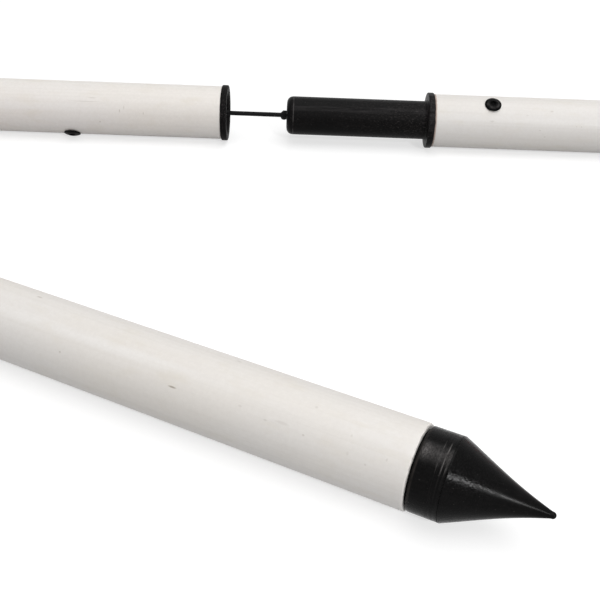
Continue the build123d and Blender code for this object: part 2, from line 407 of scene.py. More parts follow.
def lathe(name, line, outline, shape=None, segments=ROUND_SEGMENTS):
    """Revolves a closed outline about a line. shape(station, radius, angle) may move each point."""
    bm = bmesh.new()
    rings = []
    for station, radius in held(outline):
        if radius < ON_AXIS:
            rings.append([bm.verts.new((station, 0, 0))] * segments)
            continue
        ring = []
        for k in range(segments):
            angle = 2 * pi * k / segments
            s, r = shape(station, radius, angle) if shape else (station, radius)
            ring.append(bm.verts.new((s, r * cos(angle), r * sin(angle))))
        rings.append(ring)
    for ring, after in zip(rings, rings[1:] + rings[:1]):
        stitch(bm, ring, after)
    return finish_mesh(name, bm, line.matrix(), SHARP_TURNED)


def sweep(name, points, radius_at, sides, closed=False):
    """Tube along points in metres. radius_at(length, angle) is in millimetres."""
    bm = bmesh.new()
    count = len(points)
    tangents = []
    for i in range(count):
        before = points[i - 1] if closed or i else points[0]
        after = points[(i + 1) % count] if closed or i < count - 1 else points[-1]
        tangents.append((after - before).normalized())
    normal = tangents[0].orthogonal().normalized()
    rings = []
    run = 0.0
    for i, (point, tangent) in enumerate(zip(points, tangents)):
        if i:
            run += (point - points[i - 1]).length / MM
        normal = (normal - tangent * normal.dot(tangent)).normalized()
        other = tangent.cross(normal)
        ring = []
        for k in range(sides):
            angle = 2 * pi * k / sides
            spoke = normal * cos(angle) + other * sin(angle)
            ring.append(bm.verts.new(point / MM + spoke * radius_at(run, angle)))
        rings.append(ring)
    following = rings[1:] + rings[:1] if closed else rings[1:]
    for ring, after in zip(rings, following):
        stitch(bm, ring, after)
    if not closed:
        bm.faces.new(rings[0])
        bm.faces.new(rings[-1])
    return finish_mesh(name, bm, Matrix.Identity(4), SHARP_CORD)


def place_piece(piece, body, material, slot, *nodes):
    """Rides a finished piece on its body in place of the CAD nodes that it stands for."""
    piece.data.materials.append(material)
    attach(piece, body)
    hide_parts(*nodes)
    return piece


# Colours

def colour(red, green, blue):
    return (red, green, blue, 1.0)


WHITE = colour(1.0, 1.0, 1.0)
CREAMY_PAINT = (0.815, 0.780, 0.738)
PALER_PAINT = (0.82, 0.795, 0.770)
# Paler paint for the painted highlight line along each tube
HIGHLIGHT_PAINT = colour(0.90, 0.88, 0.86)
PAINT_STREAK = colour(0.66, 0.62, 0.55)
PAINT_FINE_LINE = colour(0.66, 0.63, 0.58)
PAINT_SMUDGE = colour(0.66, 0.58, 0.42)
PAINT_GRAIN = colour(0.66, 0.62, 0.58)
GRIME = colour(0.27, 0.23, 0.18)
STAIN = colour(0.24, 0.18, 0.12)
RESIN = colour(0.30, 0.15, 0.09)
VINYL = colour(0.52, 0.020, 0.018)
FADED_VINYL = colour(0.60, 0.045, 0.030)
SCUFFED_VINYL = colour(0.62, 0.16, 0.12)
NYLON = colour(0.0018, 0.0017, 0.0018)
PALER_NYLON = colour(0.0042, 0.0039, 0.0040)
NYLON_DUST = colour(0.070, 0.062, 0.062)
NYLON_SPECK = colour(0.090, 0.084, 0.080)
SCUFFED_PLUG = colour(0.075, 0.066, 0.066)
# Paler blacks for the painted highlights on the plug, along it and round its crest
PLUG_HIGHLIGHT = colour(0.075, 0.070, 0.072)
PLUG_CREST_HIGHLIGHT = colour(0.085, 0.080, 0.078)
# Pale colours painted on the collar: its highlight, its lit tool marks and its worn, lit edge
COLLAR_HIGHLIGHT = colour(0.125, 0.117, 0.115)
COLLAR_LIT_TOOL_MARK = colour(0.115, 0.108, 0.105)
COLLAR_WORN_LIT_EDGE = colour(0.110, 0.092, 0.082)
OXIDE = colour(0.0010, 0.0010, 0.0012)
# Paler oxide for the painted highlight on the screw heads
OXIDE_HIGHLIGHT = colour(0.045, 0.042, 0.042)
YARN = colour(0.0035, 0.0035, 0.004)
LINT = colour(0.013, 0.012, 0.012)
ZINC_LIGHT = colour(0.66, 0.66, 0.64)
ZINC_DARK = colour(0.50, 0.51, 0.52)
ALUMINIUM_LIGHT = colour(0.78, 0.78, 0.78)
ALUMINIUM_DARK = colour(0.62, 0.62, 0.63)


# Node materials

class Nodes:
    """Short forms for the nodes of one Principled material, or of another node tree."""

    def __init__(self, name=None, tree=None):
        self.tree = tree
        if name:
            self.material = bpy.data.materials.new(name)
            self.material.use_nodes = True
            self.tree = self.material.node_tree
            self.shader = self.tree.nodes["Principled BSDF"]

    def add(self, kind, sockets=None, **settings):
        node = self.tree.nodes.new(kind)
        for key, value in settings.items():
            setattr(node, key, value)
        for key, value in (sockets or {}).items():
            self.put(node.inputs[key], value)
        return node

    def put(self, socket, value):
        if isinstance(value, bpy.types.NodeSocket):
            self.tree.links.new(value, socket)
        else:
            socket.default_value = value

    def set(self, **sockets):
        """Shader sockets by name, with underscores for spaces."""
        for key, value in sockets.items():
            self.put(self.shader.inputs[key.replace("_", " ")], value)

    def feeding(self, socket):
        """What is linked to one of the shader's sockets so far."""
        return self.shader.inputs[socket].links[0].from_socket

    def looked_at(self):
        """1 for rays that show a surface, in the picture or in a reflection, 0 for rays that light."""
        path = self.add("ShaderNodeLightPath")
        seen = self.math("MAXIMUM", path.outputs["Is Camera Ray"], path.outputs["Is Glossy Ray"])
        return self.math("MAXIMUM", seen, path.outputs["Is Transmission Ray"])

    def own(self, scale):
        """The piece's own coordinates in metres, stretched by a scale for each axis."""
        place = self.add("ShaderNodeTexCoord").outputs["Object"]
        return self.add("ShaderNodeMapping", {"Vector": place, "Scale": scale}).outputs["Vector"]

    def own_axis(self, axis):
        """One of the piece's own coordinates, in metres."""
        return self.add("ShaderNodeSeparateXYZ", {"Vector": self.own((1, 1, 1))}).outputs[axis]

    def towards(self, elevation):
        """How far a point lies from the piece's axis, in metres, towards an elevation in degrees on the
        viewer's side."""
        across = self.math("MULTIPLY", self.own_axis("Y"), -cos(radians(elevation)))
        above = self.math("MULTIPLY", self.own_axis("Z"), sin(radians(elevation)))
        return self.math("ADD", across, above)

    def math(self, operation, a, b):
        node = self.add("ShaderNodeMath", operation=operation)
        self.put(node.inputs[0], a)
        self.put(node.inputs[1], b)
        return node.outputs["Value"]

    def product(self, first, *others):
        for other in others:
            first = self.math("MULTIPLY", first, other)
        return first

    def length(self, vector):
        return self.add("ShaderNodeVectorMath", {"Vector": vector}, operation="LENGTH").outputs["Value"]

    def off(self, length, place):
        """How far a length in metres lies from a place in millimetres, in metres."""
        return self.math("ABSOLUTE", self.math("SUBTRACT", length, place * MM), 0.0)

    def ramp(self, value, low, high, start=0.0, end=1.0):
        sockets = {"Value": value, "From Min": low, "From Max": high, "To Min": start, "To Max": end}
        return self.add("ShaderNodeMapRange", sockets, clamp=True).outputs["Result"]

    def ramp_mm(self, length, low, high, start=0.0, end=1.0):
        """Ramp over a length in metres, between places in millimetres."""
        return self.ramp(length, low * MM, high * MM, start, end)

    def noise(self, scale, detail=3.0, roughness=0.55):
        sockets = {"Vector": self.own(scale), "Scale": 1.0, "Detail": detail, "Roughness": roughness}
        return self.add("ShaderNodeTexNoise", sockets).outputs["Fac"]

    def specks(self, scale, size, shown):
        """1 in scattered round specks, fading to 0 round them. Each has a random grey value of its own,
        and fades in as that goes from the first to the second value of shown."""
        sockets = {"Vector": self.own(scale), "Scale": 1.0, "Randomness": 1.0}
        cells = self.add("ShaderNodeTexVoronoi", sockets).outputs
        own_grey = self.add("ShaderNodeSeparateColor", {"Color": cells["Color"]}).outputs["Red"]
        return self.product(self.ramp(cells["Distance"], *size, 1.0, 0.0), self.ramp(own_grey, *shown))

    def mark(self, station, elevation, half_length, half_width):
        """1 in a small oval on a tube's outside, fading to 0 round it."""
        shrink = (1 / (half_length * MM), 1 / (half_width * MM), 1 / (half_width * MM))
        across = -TUBE_R * cos(radians(elevation)) / half_width
        above = TUBE_R * sin(radians(elevation)) / half_width
        reach = self.add("ShaderNodeVectorMath", operation="DISTANCE")
        self.put(reach.inputs[0], self.own(shrink))
        self.put(reach.inputs[1], (station / half_length, across, above))
        return self.ramp(reach.outputs["Value"], 0.4, 1.0, 1.0, 0.0)

    def mix(self, factor, first, second):
        node = self.add("ShaderNodeMix", data_type="RGBA")
        self.put(node.inputs["Factor"], factor)
        self.put(node.inputs["A"], first)
        self.put(node.inputs["B"], second)
        return node.outputs["Result"]

    def bump(self, height, distance, strength=1.0, normal=None):
        sockets = {"Height": height, "Distance": distance * MM, "Strength": strength}
        node = self.add("ShaderNodeBump", sockets)
        if normal:
            self.put(node.inputs["Normal"], normal)
        return node.outputs["Normal"]


def streaked_paint(m, tube_name, streaks):
    """Off-white that is creamy in patches, with faint streaks and fine lines along the tube."""
    # Painted light: each tube's paint is made lighter or darker by its tone, to make up for the light it
    # gets
    tone = PAINTED_LIGHT_TONE[tube_name]
    creamy = colour(*(part * tone for part in CREAMY_PAINT))
    paler = colour(*(part * tone for part in PALER_PAINT))
    patches = m.noise((14, 40, 40), detail=2.0)
    paint = m.mix(m.ramp(patches, 0.35, 0.65), creamy, paler)
    paint = m.mix(m.ramp(streaks, 0.56, 0.76, 0.0, 0.14), paint, PAINT_STREAK)
    fine_lines = m.noise((5, 1000, 1000), detail=2.0)
    return m.mix(m.ramp(fine_lines, 0.50, 0.70, 0.0, 0.12), paint, PAINT_FINE_LINE)


def highlighted_paint(m, paint, tube_name, length):
    """A painted highlight: a paler, uneven line along the tube."""
    on_line = m.ramp_mm(m.towards(HIGHLIGHT_LINE[tube_name]), 0.985 * TUBE_R, TUBE_R)
    station = m.own_axis("X")
    to_end = m.math("MINIMUM", station, m.math("SUBTRACT", length * MM, station))
    off_ends = m.ramp_mm(to_end, *HIGHLIGHT_FADE)
    uneven = m.ramp(m.noise((16, 300, 300), detail=3.0), 0.36, 0.60, 0.2, 0.65)
    return m.mix(m.product(on_line, off_ends, uneven), paint, HIGHLIGHT_PAINT)


def soiled_paint(m, paint, tube_name):
    """Tan smudges, a fine grain, scattered specks of grime, and the tube's own marks."""
    smudge = m.ramp(m.noise((70, 170, 170), detail=3.0), 0.54, 0.74)
    paint = m.mix(m.product(smudge, 0.15), paint, PAINT_SMUDGE)
    grain = m.noise((750, 750, 750), detail=3.0, roughness=0.7)
    paint = m.mix(m.ramp(grain, 0.36, 0.64, 0.0, 0.16), paint, PAINT_GRAIN)
    for scale, shown, strength in PAINT_SPECKS:
        speck = m.specks(scale, PAINT_SPECK_SIZE, shown)
        paint = m.mix(m.product(speck, strength), paint, GRIME)
    for *shape, strength in PAINT_MARKS[tube_name]:
        paint = m.mix(m.product(m.mark(*shape), strength), paint, STAIN)
    return paint


def white_paint(tube_name, length):
    """Satin off-white paint with a painted highlight line, soiled, and with resin at the tube's bare end.
    """
    m = Nodes(f"{tube_name}_paint")
    streaks = m.noise((9, 420, 420), detail=4.0)
    paint = streaked_paint(m, tube_name, streaks)
    # Painted highlight: a paler line along the tube
    paint = highlighted_paint(m, paint, tube_name, length)
    paint = soiled_paint(m, paint, tube_name)
    bare = m.add("ShaderNodeAttribute", attribute_name="bare_end").outputs["Fac"]
    paint = m.mix(m.product(bare, 0.6), paint, RESIN)
    peel = m.noise((1100, 1100, 1100), detail=2.0)
    relief = m.math("ADD", peel, m.product(streaks, 1.5))
    m.set(Base_Color=paint, Roughness=m.ramp(streaks, 0.3, 0.7, 0.38, 0.52), Specular_IOR_Level=0.3)
    m.set(Normal=m.bump(relief, 0.012, 0.5))
    return m.material


def red_band_material():
    """Red vinyl film, slightly faded and scuffed along the tube."""
    m = Nodes("red_vinyl")
    fade = m.noise((20, 60, 60), detail=3.0)
    scuff = m.ramp(m.noise((40, 700, 700), detail=4.0), 0.60, 0.78)
    vinyl = m.mix(m.ramp(fade, 0.3, 0.7), VINYL, FADED_VINYL)
    vinyl = m.mix(m.product(scuff, 0.35), vinyl, SCUFFED_VINYL)
    m.set(Base_Color=vinyl, Roughness=m.ramp(scuff, 0.0, 1.0, 0.30, 0.52), Specular_IOR_Level=0.45)
    m.set(Normal=m.bump(m.noise((500, 500, 500), detail=2.0), 0.02, 0.4))
    return m.material


def black_nylon(name, roughness, frost, specks):
    """Black nylon with fine pits, and a frosting of dust and handling that comes in clouds."""
    m = Nodes(name)
    pits = m.noise((2600, 2600, 2600), detail=3.0, roughness=0.7)
    mottle = m.noise((420, 900, 900), detail=4.0, roughness=0.65)
    body = m.mix(m.ramp(mottle, 0.35, 0.70), NYLON, PALER_NYLON)
    cloud = m.ramp(m.noise((45, 70, 70), detail=2.0), 0.40, 0.66)
    grains = m.ramp(m.noise((1500, 1500, 1500), detail=3.0, roughness=0.75), 0.52, 0.70)
    body = m.mix(m.product(cloud, grains, frost), body, NYLON_DUST)
    speck = m.specks((900, 1300, 1300), (0.10, 0.22), (0.90, 0.93))
    body = m.mix(m.product(speck, specks), body, NYLON_SPECK)
    m.set(Base_Color=body, Roughness=m.ramp(pits, 0.3, 0.7, *roughness), Specular_IOR_Level=0.05)
    m.set(Normal=m.bump(pits, 0.02, 0.6))
    return m


def socket_nylon():
    return black_nylon("black_nylon_moulded", (0.48, 0.64), 0.9, 0.7).material


def plug_nylon():
    """Scuffed by its socket, with painted highlights along the plug and round the crest behind its nose.
    """
    m = black_nylon("black_nylon_plug", (0.32, 0.48), 0.15, 0.5)
    station = m.own_axis("X")
    scuffs = m.ramp(m.noise((900, 2200, 2200), detail=3.0, roughness=0.75), 0.53, 0.70)
    near_root = m.ramp_mm(station, PLUG_SCUFF_START, PLUG_LENGTH, 0.05, 0.60)
    body = m.mix(m.product(scuffs, near_root), m.feeding("Base Color"), SCUFFED_PLUG)
    # Painted highlight: a paler streak along the plug's upper side
    highlight = m.ramp_mm(m.towards(PLUG_HIGHLIGHT_UP), 0.975 * PLUG_R, PLUG_R, 0.0, 0.20)
    streaky = m.ramp(m.noise((55, 900, 900), detail=3.0), 0.38, 0.60)
    body = m.mix(m.product(highlight, streaky), body, PLUG_HIGHLIGHT)
    # Painted highlight: a pale line round the crest behind the nose
    line = m.ramp_mm(m.off(station, PLUG_CREST_HIGHLIGHT_STATION), 0.10, 0.30, 1.0, 0.0)
    broken = m.ramp(m.noise((60, 260, 260), detail=2.0), 0.36, 0.56)
    m.set(Base_Color=m.mix(m.product(line, broken, 0.7), body, PLUG_CREST_HIGHLIGHT))
    return m.material


def collar_marks_and_highlights(m, station):
    """The tip's black with a painted highlight on a patch of its collar, tool marks near the cone painted
    pale only on its lit top, and a worn brown edge that also paints the lit edge line."""
    from_start = m.ramp_mm(station, *COLLAR_MARKED_START)
    on_collar = m.product(from_start, m.ramp_mm(station, *COLLAR_MARKED_END, 1.0, 0.0))
    towards = m.towards(COLLAR_HIGHLIGHT_UP)
    # Painted highlight: a pale patch where light falls on the collar
    highlight = m.math("POWER", m.ramp_mm(towards, 0.93 * TIP_R, TIP_R), 4.0)
    grain = m.ramp(m.noise((2400, 1300, 1300), detail=3.0, roughness=0.75), 0.38, 0.62, 0.30, 1.0)
    fading = m.ramp_mm(station, *COLLAR_HIGHLIGHT_FADE, 1.0, 0.45)
    body = m.mix(m.product(highlight, on_collar, grain, fading), m.feeding("Base Color"), COLLAR_HIGHLIGHT)
    near_cone = m.product(m.ramp_mm(station, *COLLAR_TOOLED_START), on_collar)
    lines = m.ramp(m.noise((2300, 40, 40), detail=2.0), 0.52, 0.60)
    broken = m.ramp(m.noise((260, 330, 330), detail=3.0), 0.34, 0.60)
    # Painted highlight: the tool marks are pale only on the lit top of the collar
    lit_top = m.ramp_mm(towards, 0.90 * TIP_R, 0.985 * TIP_R, 0.04, 0.9)
    body = m.mix(m.product(lines, broken, near_cone, lit_top), body, COLLAR_LIT_TOOL_MARK)
    # Worn edge, whose brown also paints the lit edge line by the undercut
    on_edge = m.ramp_mm(m.off(station, COLLAR_EDGE_STATION), 0.15, 0.45, 0.18, 0.0)
    return m.mix(m.product(on_edge, broken), body, COLLAR_WORN_LIT_EDGE)


def tip_nylon():
    """The tip is turned, and its collar has painted highlights and a worn edge. The pitted shine of its
    cone becomes an even satin towards the nib."""
    m = black_nylon("black_nylon_turned", (0.06, 0.13), 0.06, 0.25)
    station = m.own_axis("X")
    m.set(Base_Color=collar_marks_and_highlights(m, station))
    turned = m.bump(m.noise((5200, 12, 12), detail=2.0), 0.012, 0.6, m.feeding("Normal"))
    pitted = m.ramp_mm(station, *CONE_PITS_FADE, 0.85, 0.10)
    pits = m.noise((1700, 1700, 1700), detail=2.0, roughness=0.6)
    dull = m.ramp(m.noise((2300, 1400, 1400), detail=2.0), 0.46, 0.56, 0.0, 0.32)
    satin = m.ramp_mm(station, *CONE_SATIN_START, 0.055, 0.22)
    m.set(Roughness=m.math("ADD", m.product(dull, pitted), satin))
    m.set(Normal=m.bump(pits, 0.06, pitted, turned), Specular_IOR_Level=0.055)
    return m.material


def black_screw_material():
    """Black oxide steel, with a painted highlight on a ring of the head's dome."""
    m = Nodes("black_oxide")
    grain = m.noise((1800, 1800, 1800), detail=3.0)
    from_axis = m.length(m.own((0, 1, 1)))
    inside = m.ramp_mm(from_axis, 0.40 * HEAD_R, 0.66 * HEAD_R)
    outside = m.ramp_mm(from_axis, 0.72 * HEAD_R, 0.86 * HEAD_R, 1.0, 0.0)
    patchy = m.ramp(m.noise((420, 420, 420), detail=2.0), 0.42, 0.62, 0.15, 1.0)
    # Painted highlight: a paler ring on the head's dome
    oxide = m.mix(m.product(inside, outside, patchy), OXIDE, OXIDE_HIGHLIGHT)
    m.set(Base_Color=oxide, Roughness=m.ramp(grain, 0.3, 0.7, 0.30, 0.46), Specular_IOR_Level=0.03)
    m.set(Normal=m.bump(grain, 0.01, 0.35))
    return m.material


def cord_material():
    """Black braided elastic cord: dull fibre with a faint sheen."""
    m = Nodes("shock_cord_braid")
    fibre = m.noise((2600, 2600, 2600), detail=4.0)
    lint = m.ramp(m.noise((700, 700, 700), detail=3.0), 0.58, 0.74)
    yarn = m.mix(lint, YARN, LINT)
    m.set(Base_Color=yarn, Roughness=m.ramp(fibre, 0.3, 0.7, 0.62, 0.85), Specular_IOR_Level=0.12)
    m.set(Sheen_Weight=0.08, Sheen_Roughness=0.5, Normal=m.bump(fibre, 0.03, 0.6))
    return m.material


def metal_material(name, light, dark, roughness):
    """Plain metal with a cloudy finish and fine marks."""
    m = Nodes(name)
    cloud = m.noise((350, 350, 350), detail=4.0)
    marks = m.noise((2200, 300, 300), detail=2.0)
    m.set(Base_Color=m.mix(m.ramp(cloud, 0.35, 0.68), light, dark), Metallic=1.0)
    m.set(Roughness=m.ramp(cloud, 0.3, 0.7, roughness, roughness + 0.15))
    m.set(Normal=m.bump(marks, 0.01, 0.4))
    return m.material


RED_BAND = red_band_material()
SOCKET_NYLON = socket_nylon()
PLUG_NYLON = plug_nylon()
TIP_NYLON = tip_nylon()
BLACK_SCREW = black_screw_material()
SHOCK_CORD = cord_material()
ZINC = metal_material("zinc_plate", ZINC_LIGHT, ZINC_DARK, 0.34)
ALUMINIUM = metal_material("crimped_aluminium", ALUMINIUM_LIGHT, ALUMINIUM_DARK, 0.30)


# Tubes and bands

def tube(name, line, body):
    """White tube with slightly chipped ends. Brown resin shows where the paint stops at a plug."""
    start, end = line.span(name)
    own = line.from_station(start)
    length = end - start

    def fray(station, radius, angle):
        to_end = min(station, length - station)
        if to_end > TUBE_LIP * 2 or radius < TUBE_R - TUBE_LIP:
            return station, radius
        where = Vector((cos(angle) * CHIP_ROUND, sin(angle) * CHIP_ROUND, station))
        rough = noise.fractal(where * CHIP_SCALE, CHIP_FALL, CHIP_FINER, CHIP_OCTAVES)
        chip = max(0.0, rough - CHIP_LEVEL)
        inwards = 1.0 if station < length / 2 else -1.0
        return station + inwards * chip * TUBE_FRAY, radius - chip * TUBE_FRAY * 0.5

    outline = rounded([
        (0, TUBE_BORE_R, 0),
        (0, TUBE_R, TUBE_LIP),
        (BARE_END, TUBE_R, 0),
        (BARE_END + BARE_FADE, TUBE_R, 0),
        (length - BARE_END - BARE_FADE, TUBE_R, 0),
        (length, TUBE_R, TUBE_LIP),
        (length, TUBE_BORE_R, 0),
    ])
    piece = lathe(f"{name}_shell", own, outline, fray)
    bare = piece.data.attributes.new("bare_end", "FLOAT", "POINT")
    for value, vertex in zip(bare.data, piece.data.vertices):
        at_plug = body != "middle_section" and vertex.co.x < (BARE_END + BARE_MARGIN) * MM
        value.value = 1.0 if at_plug else 0.0
    return place_piece(piece, body, white_paint(name, length), "white_tube", name)


def band(name, line, body):
    """Vinyl film wrapped round the tube, one edge lapped over the other."""
    start, end = line.span(name)
    own = line.from_station(start)
    length = end - start
    flap = radians(BAND_FLAP)

    def lap(station, radius, angle):
        if radius < TUBE_R + BAND_T / 2:
            return station, radius
        over = BAND_LAP if angle < flap else 0.0
        lift = BAND_LIFT * noise.noise(Vector((station * 0.08, cos(angle) * 2, sin(angle) * 2)))
        waver = BAND_WAVER * noise.noise(Vector((cos(angle) * 4, sin(angle) * 4, station)))
        return station + waver, radius + over + max(0.0, lift)

    outside = [(length * k / BAND_STEPS, TUBE_R + BAND_T) for k in range(BAND_STEPS + 1)]
    outline = [(0, TUBE_R)] + outside + [(length, TUBE_R)]
    piece = lathe(f"{name}_film", own, outline, lap)
    return place_piece(piece, body, RED_BAND, "red_band", name)


# Black turned parts

def socket(name, line, body):
    """Flanged socket. The line starts at its mouth and runs inwards."""
    length = line.span(name)[1]
    outline = rounded([
        (0, SOCKET_R, SOCKET_RIM),
        (0, FLANGE_R, FLANGE_EDGE),
        (FLANGE_T, FLANGE_R, FLANGE_EDGE),
        (FLANGE_T, SHANK_R, 0),
        (length, SHANK_R, SHANK_EDGE),
        (length, CORD_HOLE_R, 0),
        (SOCKET_DEPTH, CORD_HOLE_R, 0),
        (SOCKET_DEPTH, SOCKET_R, SHANK_EDGE),
    ])
    piece = lathe(f"{name}_turned", line, outline)
    return place_piece(piece, body, SOCKET_NYLON, "black_nylon", name)


def plug(name, line, body):
    """Flanged plug with a rounded nose that ends in a fine crest."""
    start, end = line.span(name)
    own = line.from_station(start)
    flange = PLUG_LENGTH + FLANGE_T
    outline = rounded([
        (HOLE_MOUTH_DEPTH, CORD_HOLE_R, 0),
        (0, HOLE_MOUTH_R, HOLE_MOUTH_EDGE),
        (0, NOSE_R, PLUG_NOSE),
        (CREST_START, NOSE_R, 0),
        (CREST_START + CREST_RISE, PLUG_R + CREST_HEIGHT, CREST_EDGE),
        (CREST_START + CREST_LENGTH, PLUG_R, 0),
        (PLUG_LENGTH, PLUG_R, PLUG_ROOT),
        (PLUG_LENGTH, FLANGE_R, FLANGE_EDGE),
        (flange, FLANGE_R, FLANGE_EDGE),
        (flange, SHANK_R, 0),
        (end - start, SHANK_R, SHANK_EDGE),
        (end - start, CORD_HOLE_R, 0),
    ])
    piece = lathe(f"{name}_turned", own, outline)
    return place_piece(piece, body, PLUG_NYLON, "black_nylon", name)


def groove(station, depth):
    """Corners of a groove round the tip's collar."""
    return [
        (station - GROOVE_HALF_WIDTH, TIP_R, 0),
        (station - GROOVE_HALF_FLOOR, TIP_R - depth, 0),
        (station + GROOVE_HALF_FLOOR, TIP_R - depth, 0),
        (station + GROOVE_HALF_WIDTH, TIP_R, 0),
    ]


def hollow_cone():
    """Corners of the cone slightly inside a straight one, short of its two rounded ends."""
    corners = []
    for k in range(2, CONE_STEPS - 2):
        share = k / CONE_STEPS
        hollow = CONE_HOLLOW * sin(pi * share ** CONE_HOLLOW_SKEW)
        straight = TIP_R + (NIB_R - TIP_R) * share
        corners.append((TIP_COLLAR + CONE_LENGTH * share, straight - hollow, 0))
    return corners


def point_tip(line):
    """Pointed tip: a collar with grooves, a slightly hollow cone and a blunt nib."""
    start, end = line.span("point_tip")
    tube_end = line.span("lower_tube")[1]
    own = line.from_station(tube_end)
    length = end - tube_end
    grooves = []
    for station, depth in TIP_GROOVES:
        grooves += groove(station, depth)
    outline = rounded([
        (start - tube_end, 0, 0),
        (start - tube_end, SHANK_R, SHANK_EDGE),
        (TIP_UNDERCUT, SHANK_R, UNDERCUT_ROOT),
        (TIP_UNDERCUT, TIP_R, UNDERCUT_EDGE),
        *grooves,
        (TIP_COLLAR, TIP_R, TIP_EDGE),
        *hollow_cone(),
        (TIP_COLLAR + CONE_LENGTH, NIB_R, NIB_ROOT),
        (length, NIB_R, NIB_ROUND),
        (length, 0, 0),
    ])
    piece = lathe("point_tip_turned", own, outline)
    return place_piece(piece, "lower_section", TIP_NYLON, "black_nylon", "point_tip")


def top_cap(line):
    """Plain cap with an undercut above the tube and a shallow dish in its face."""
    start = line.span("top_cap")[0]
    tube_end = line.span("upper_tube")[1]
    own = line.from_station(tube_end)
    outline = rounded([
        (start - tube_end, 0, 0),
        (start - tube_end, SHANK_R, SHANK_EDGE),
        (CAP_UNDERCUT, SHANK_R, UNDERCUT_ROOT),
        (CAP_UNDERCUT, TUBE_R, UNDERCUT_EDGE),
        (CAP_HEAD, TUBE_R, CAP_EDGE),
        (CAP_HEAD, CAP_DISH_R, CAP_DISH_EDGE),
        (CAP_HEAD - CAP_DISH, CAP_DISH_FLOOR_R, CAP_DISH_EDGE),
        (CAP_HEAD - CAP_DISH, 0, 0),
    ])
    piece = lathe("top_cap_turned", own, outline)
    return place_piece(piece, "upper_section", SOCKET_NYLON, "black_nylon", "top_cap")


# Screws

def screw_ring(height, radius_at):
    """Points round a screw's own axis at a height."""
    points = []
    for k in range(SCREW_SIDES):
        angle = 2 * pi * k / SCREW_SIDES
        radius = radius_at(angle)
        points.append((height, radius * cos(angle), radius * sin(angle)))
    return points


def circle(height, radius):
    return screw_ring(height, lambda angle: radius)


def hexagon(height, across):
    def radius_at(angle):
        in_side = (angle + pi / 6) % (pi / 3) - pi / 6
        return across / 2 / cos(in_side)

    return screw_ring(height, radius_at)


def dome_height(radius):
    """Height of the head's dome, which rises from the rim to the crown."""
    rise = HEAD_HEIGHT - HEAD_RIM
    dome = (HEAD_R ** 2 + rise ** 2) / (2 * rise)
    return HEAD_CROWN - dome + sqrt(dome ** 2 - radius ** 2)


def screw_rings():
    """Rings from the end of a screw, over its head and down to the foot of its hexagon."""
    end = SCREW_SEAT - SCREW_LENGTH
    rings = [
        circle(end, SCREW_END_R),
        circle(end + SCREW_END, SCREW_R),
        circle(SCREW_SEAT, SCREW_R),
        circle(SCREW_SEAT, HEAD_R - RIM_EDGE),
        circle(SCREW_SEAT + RIM_EDGE, HEAD_R),
        circle(SCREW_SEAT + HEAD_RIM, HEAD_R - RIM_DRAFT),
    ]
    for k in range(1, DOME_RINGS + 1):
        radius = DOME_FOOT_R - DOME_STEP * k
        rings.append(circle(dome_height(radius), radius))
    lip = dome_height(HEX_ACROSS / 2)
    rings.append(hexagon(lip, HEX_ACROSS + HEX_LIP))
    rings.append(hexagon(lip - HEX_LIP_DEPTH, HEX_ACROSS))
    rings.append(hexagon(HEAD_CROWN - HEX_DEPTH, HEX_ACROSS))
    return rings


def screw(node, line, elevation, body):
    """Button-head screw with a hexagon socket, pointing outwards along its own axis."""
    bm = bmesh.new()
    rings = [[bm.verts.new(point) for point in ring] for ring in screw_rings()]
    drilled = bm.verts.new((HEAD_CROWN - HEX_DEPTH - HEX_DRILL, 0, 0))
    rings.append([drilled] * SCREW_SIDES)
    for ring, after in zip(rings, rings[1:]):
        stitch(bm, ring, after)
    bm.faces.new(rings[0])
    foot = line.point(sum(line.span(node)) / 2)
    turn = line.outwards(elevation).to_track_quat("X", "Z").to_matrix().to_4x4()
    piece = finish_mesh(f"{node}_head", bm, Matrix.Translation(foot) @ turn, SHARP_SCREW)
    return place_piece(piece, body, BLACK_SCREW, "black_screw", node)


# Shock cord

def braid(run, angle):
    """Radius of a braided cord: two sets of strands that cross over and under."""
    twist = 2 * pi * run / BRAID_PITCH
    left = cos(BRAID_STRANDS / 2 * (angle + twist))
    right = cos(BRAID_STRANDS / 2 * (angle - twist))
    return CORD_R * (1 - BRAID_RELIEF + BRAID_RELIEF * max(left, right))


def spaced(start, end, step):
    """Evenly spaced points of a straight run, in metres."""
    count = max(2, round((end - start).length / MM / step))
    return [start.lerp(end, k / count) for k in range(count + 1)]


def smooth_route(route):
    """Points along a smooth curve that a list of control points draws, in metres."""
    curve = bpy.data.curves.new("lower_cord_route", "CURVE")
    curve.dimensions = "3D"
    curve.resolution_u = ROUTE_STEPS
    spline = curve.splines.new("NURBS")
    spline.points.add(len(route) - 1)
    for control, point in zip(spline.points, route):
        control.co = (*point, 1.0)
    spline.order_u = 3
    spline.use_endpoint_u = True
    carrier = bpy.data.objects.new("lower_cord_route", curve)
    bpy.context.scene.collection.objects.link(carrier)
    followed = bpy.data.meshes.new_from_object(carrier)
    points = [v.co.copy() for v in followed.vertices]
    bpy.data.objects.remove(carrier)
    bpy.data.meshes.remove(followed)
    return points


def upper_cord():
    """Taut cord across the open joint, from its hole to the knot."""
    hole = UPPER_LINE.point(UPPER_LINE.span("upper_cord_stretch")[0])
    in_knot = UPPER_LINE.origin
    piece = sweep("upper_cord_braid", spaced(hole, in_knot, CORD_STEP), braid, CORD_SIDES)
    place_piece(piece, "middle_section", SHOCK_CORD, "shock_cord", "upper_cord_stretch")
    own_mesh(piece)


